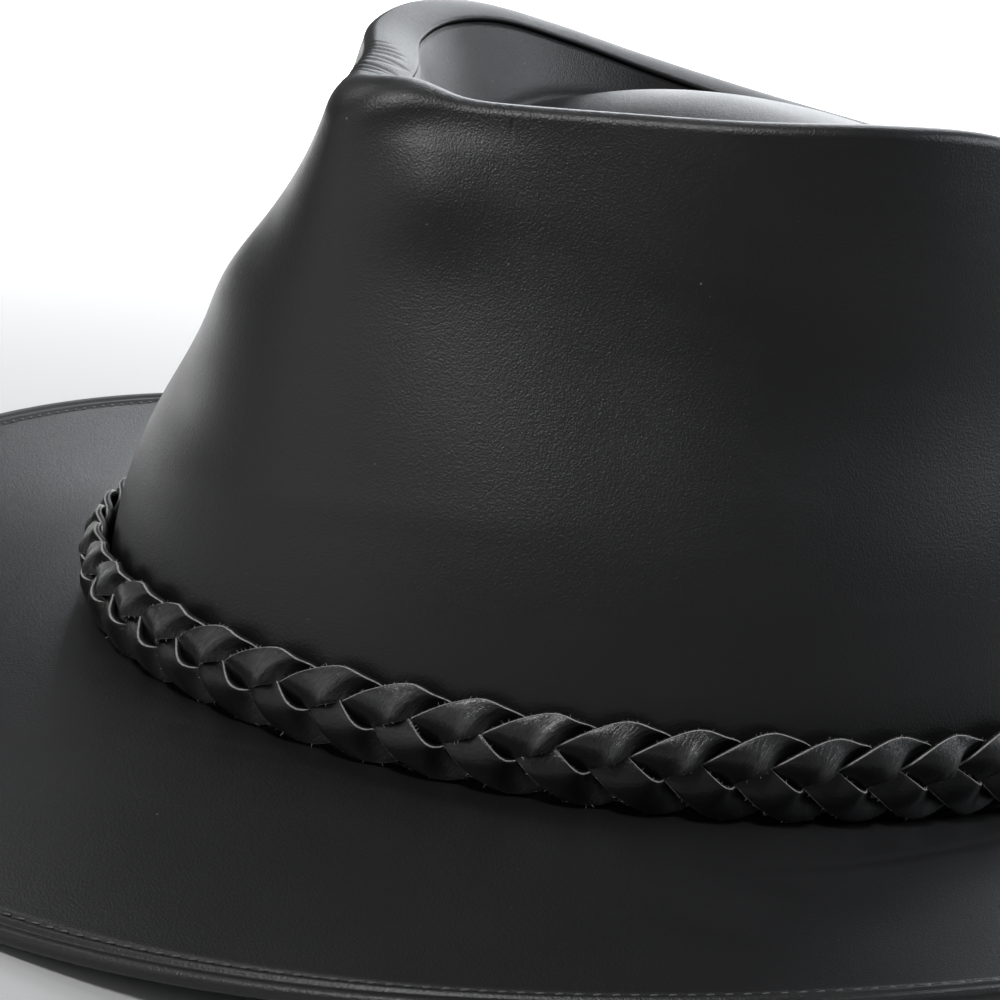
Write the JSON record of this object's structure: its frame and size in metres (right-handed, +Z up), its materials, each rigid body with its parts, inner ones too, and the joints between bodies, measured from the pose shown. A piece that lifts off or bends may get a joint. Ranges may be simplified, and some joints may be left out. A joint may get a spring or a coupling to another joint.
{
  "type": "leather western hat",
  "caption": "Black leather hat with a pinched, sunken crown, a wide brim with a turned and stitched hem, and a braided strap band.",
  "frame": {"origin": "on the surface that the hat rests on, under the middle of the brim", "axes": "+Z up; -Y the front of the hat; +X the wearer's left"},
  "size_m": [0.3166, 0.344, 0.127],
  "materials": {
    "crown_leather": "smooth black cowhide with a soft satin shine",
    "brim_leather": "smooth black cowhide with a soft satin shine, hem turned under and stitched",
    "band_leather": "flat black leather straps with raw, paler edges, braided"
  },
  "bodies": {
    "root": {"crown_side": "crown_leather", "crown_tip": "crown_leather", "brim": "brim_leather", "band_strand_1": "band_leather", "band_strand_2": "band_leather", "band_strand_3": "band_leather"}
  },
  "joints": []
}
